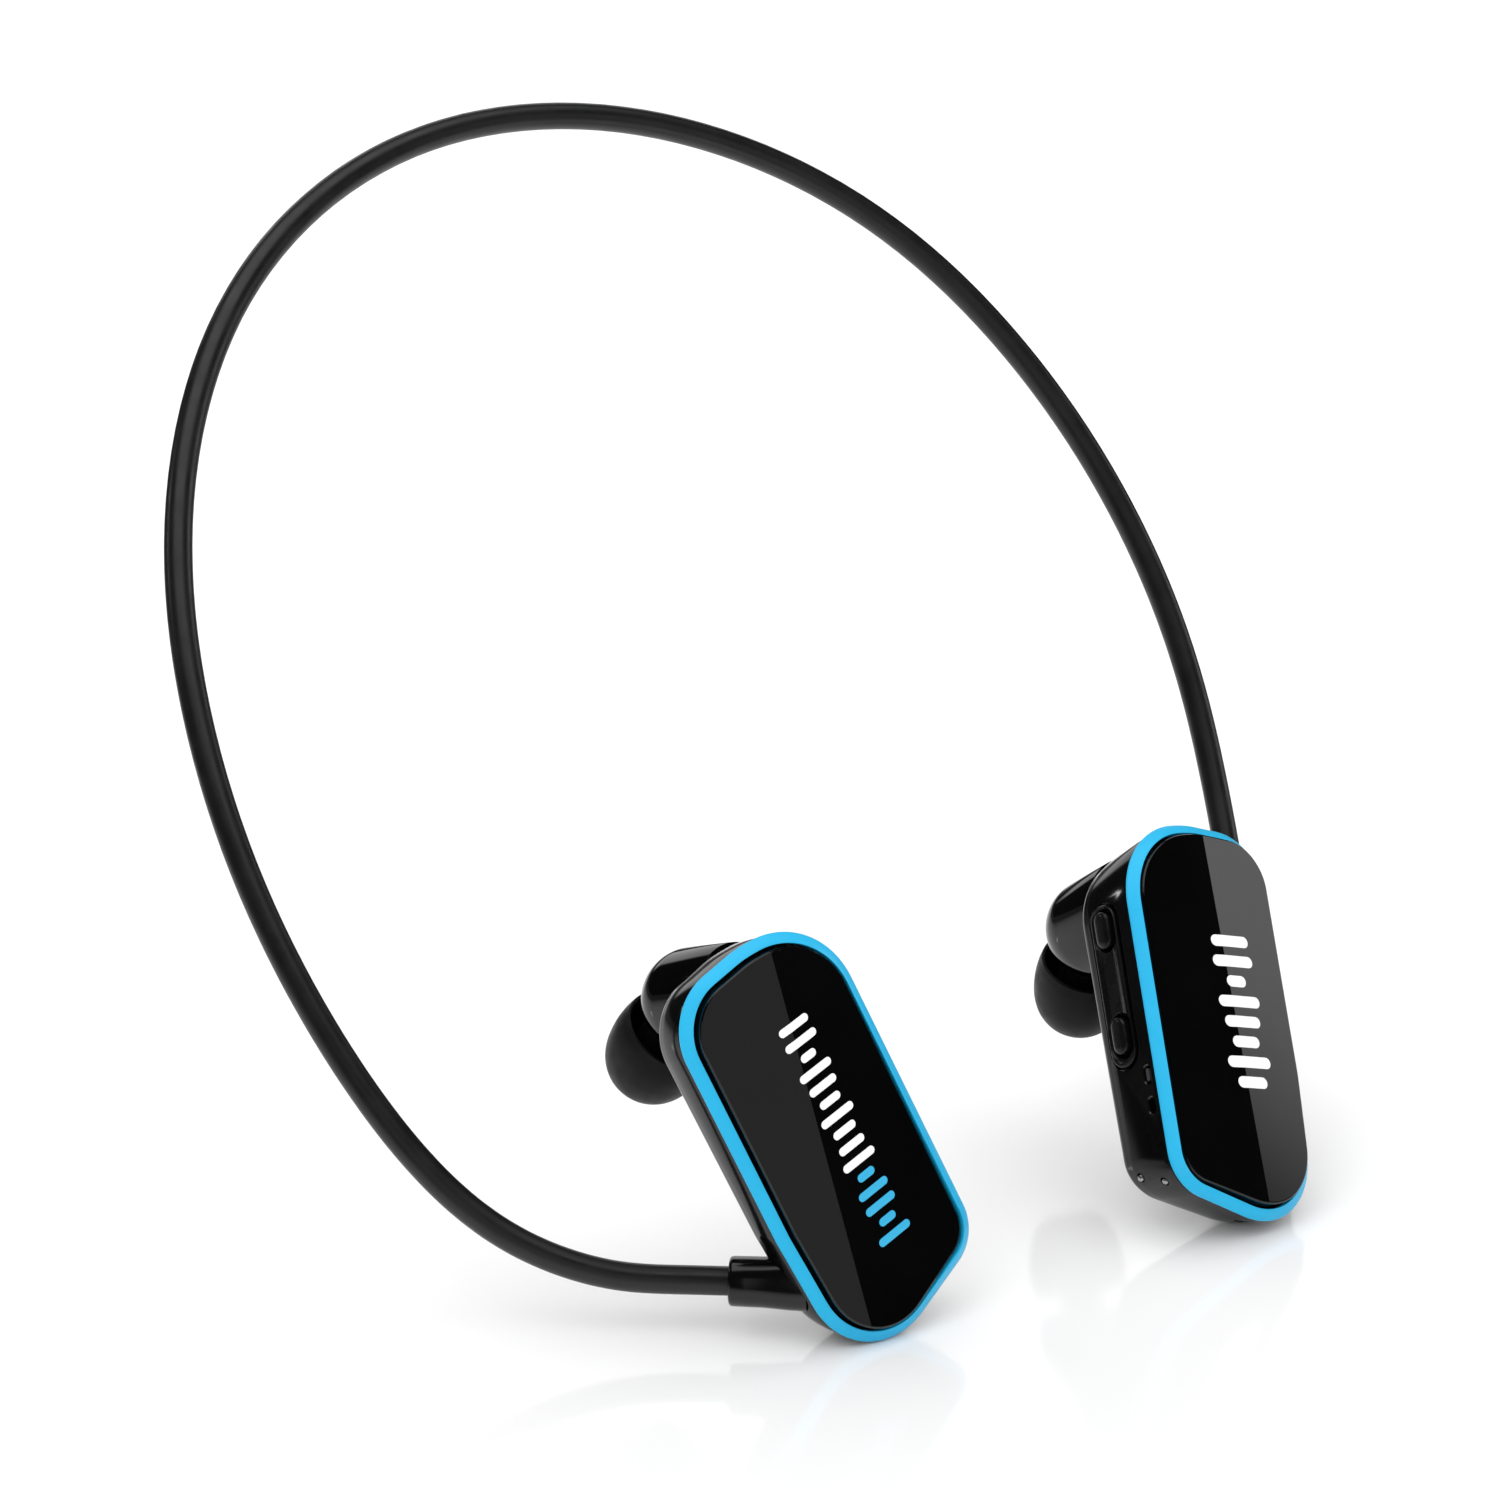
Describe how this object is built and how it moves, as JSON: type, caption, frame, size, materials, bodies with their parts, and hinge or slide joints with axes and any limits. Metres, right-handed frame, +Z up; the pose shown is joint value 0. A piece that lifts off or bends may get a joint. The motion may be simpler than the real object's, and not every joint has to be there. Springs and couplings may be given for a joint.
{
  "type": "neckband earphones",
  "caption": "Neckband earphones: glossy black pods with cyan trim and silicone ear tips on a sprung rubber band that goes round the neck.",
  "frame": {"origin": "on the floor under the middle of the whole object, as it stands on the lower tips of its two pods", "axes": "+Z up, +X towards the right pod's side, +Y towards the back of the neckband, away from the glossy covers"},
  "size_m": [0.1372, 0.1278, 0.1222],
  "materials": {
    "gloss_black": "mirror-gloss moulded black plastic",
    "satin_black": "satin black plastic",
    "cyan_trim": "satin cyan plastic",
    "silicone": "soft satin silicone",
    "band_rubber": "smooth satin rubber",
    "gasket_rubber": "matte seal rubber",
    "steel": "plain steel",
    "magnet": "nickel-plated magnet",
    "amber_film": "thin polymer film",
    "cable_jacket": "thin wire insulation",
    "battery_foil": "laminated foil pouch",
    "foam": "adhesive foam",
    "circuit_board": "green solder mask",
    "chip_resin": "moulded resin",
    "switch_plastic": "grey moulded plastic",
    "light_lens": "clear light guide"
  },
  "bodies": {
    "rear_band": {"rear_band_sleeve": "band_rubber", "rear_band_wire": "steel", "rear_band_cable": "cable_jacket"},
    "right_arm": {"right_band_sleeve": "band_rubber", "right_band_wire": "steel", "right_band_cable": "cable_jacket", "right_body": "gloss_black", "right_cover": "gloss_black", "right_trim_ring": "cyan_trim", "right_gasket": "gasket_rubber", "right_ear_housing": "gloss_black", "right_nozzle": "gloss_black", "right_nozzle_mesh": "steel", "right_driver_basket": "steel", "right_driver_magnet": "magnet", "right_driver_diaphragm": "amber_film", "right_cable_boss": "gloss_black", "right_control_strip": "satin_black", "right_upper_switch": "switch_plastic", "right_lower_switch": "switch_plastic", "right_status_light": "light_lens", "right_charging_contact_1": "steel", "right_charging_contact_2": "steel", "right_main_board": "circuit_board", "right_processor": "chip_resin", "right_memory_chip": "chip_resin", "right_shield_can": "steel", "right_board_screw_1": "steel", "right_board_screw_2": "steel", "right_board_screw_3": "steel"},
    "left_arm": {"left_band_sleeve": "band_rubber", "left_band_wire": "steel", "left_band_cable": "cable_jacket", "left_body": "gloss_black", "left_cover": "gloss_black", "left_trim_ring": "cyan_trim", "left_gasket": "gasket_rubber", "left_ear_housing": "gloss_black", "left_nozzle": "gloss_black", "left_nozzle_mesh": "steel", "left_driver_basket": "steel", "left_driver_magnet": "magnet", "left_driver_diaphragm": "amber_film", "left_cable_boss": "gloss_black", "left_battery": "battery_foil", "left_battery_pad": "foam", "left_protection_board": "circuit_board", "left_protection_chip": "chip_resin"},
    "right_tip": {"right_ear_tip": "silicone"},
    "left_tip": {"left_ear_tip": "silicone"},
    "upper_button": {"right_upper_button": "satin_black"},
    "lower_button": {"right_lower_button": "satin_black"}
  },
  "joints": [
    {"name": "right_flex", "type": "hinge", "parent": "rear_band", "child": "right_arm", "pos_m": [0.02588, 0.06215, 0.0965], "axis": [0.4496, -0.6221, 0.641], "range_deg": [-5, 20], "stiffness_Nm_per_rad": 0.15},
    {"name": "left_flex", "type": "hinge", "parent": "rear_band", "child": "left_arm", "pos_m": [-0.06684, -0.00918, 0.08716], "axis": [-0.4496, 0.6221, -0.641], "range_deg": [-5, 20], "stiffness_Nm_per_rad": 0.15},
    {"name": "right_tip_pull", "type": "slide", "parent": "right_arm", "child": "right_tip", "axis": [-0.1472, 0.3506, -0.9249], "range_m": [0, 0.006]},
    {"name": "left_tip_pull", "type": "slide", "parent": "left_arm", "child": "left_tip", "axis": [-0.4544, 0.3953, -0.7983], "range_m": [0, 0.006]},
    {"name": "upper_button_press", "type": "slide", "parent": "right_arm", "child": "upper_button", "axis": [0.7698, 0.5717, -0.284], "range_m": [0, 0.0004], "stiffness_N_per_m": 1200},
    {"name": "lower_button_press", "type": "slide", "parent": "right_arm", "child": "lower_button", "axis": [0.7698, 0.5717, -0.284], "range_m": [0, 0.0004], "stiffness_N_per_m": 1200}
  ]
}
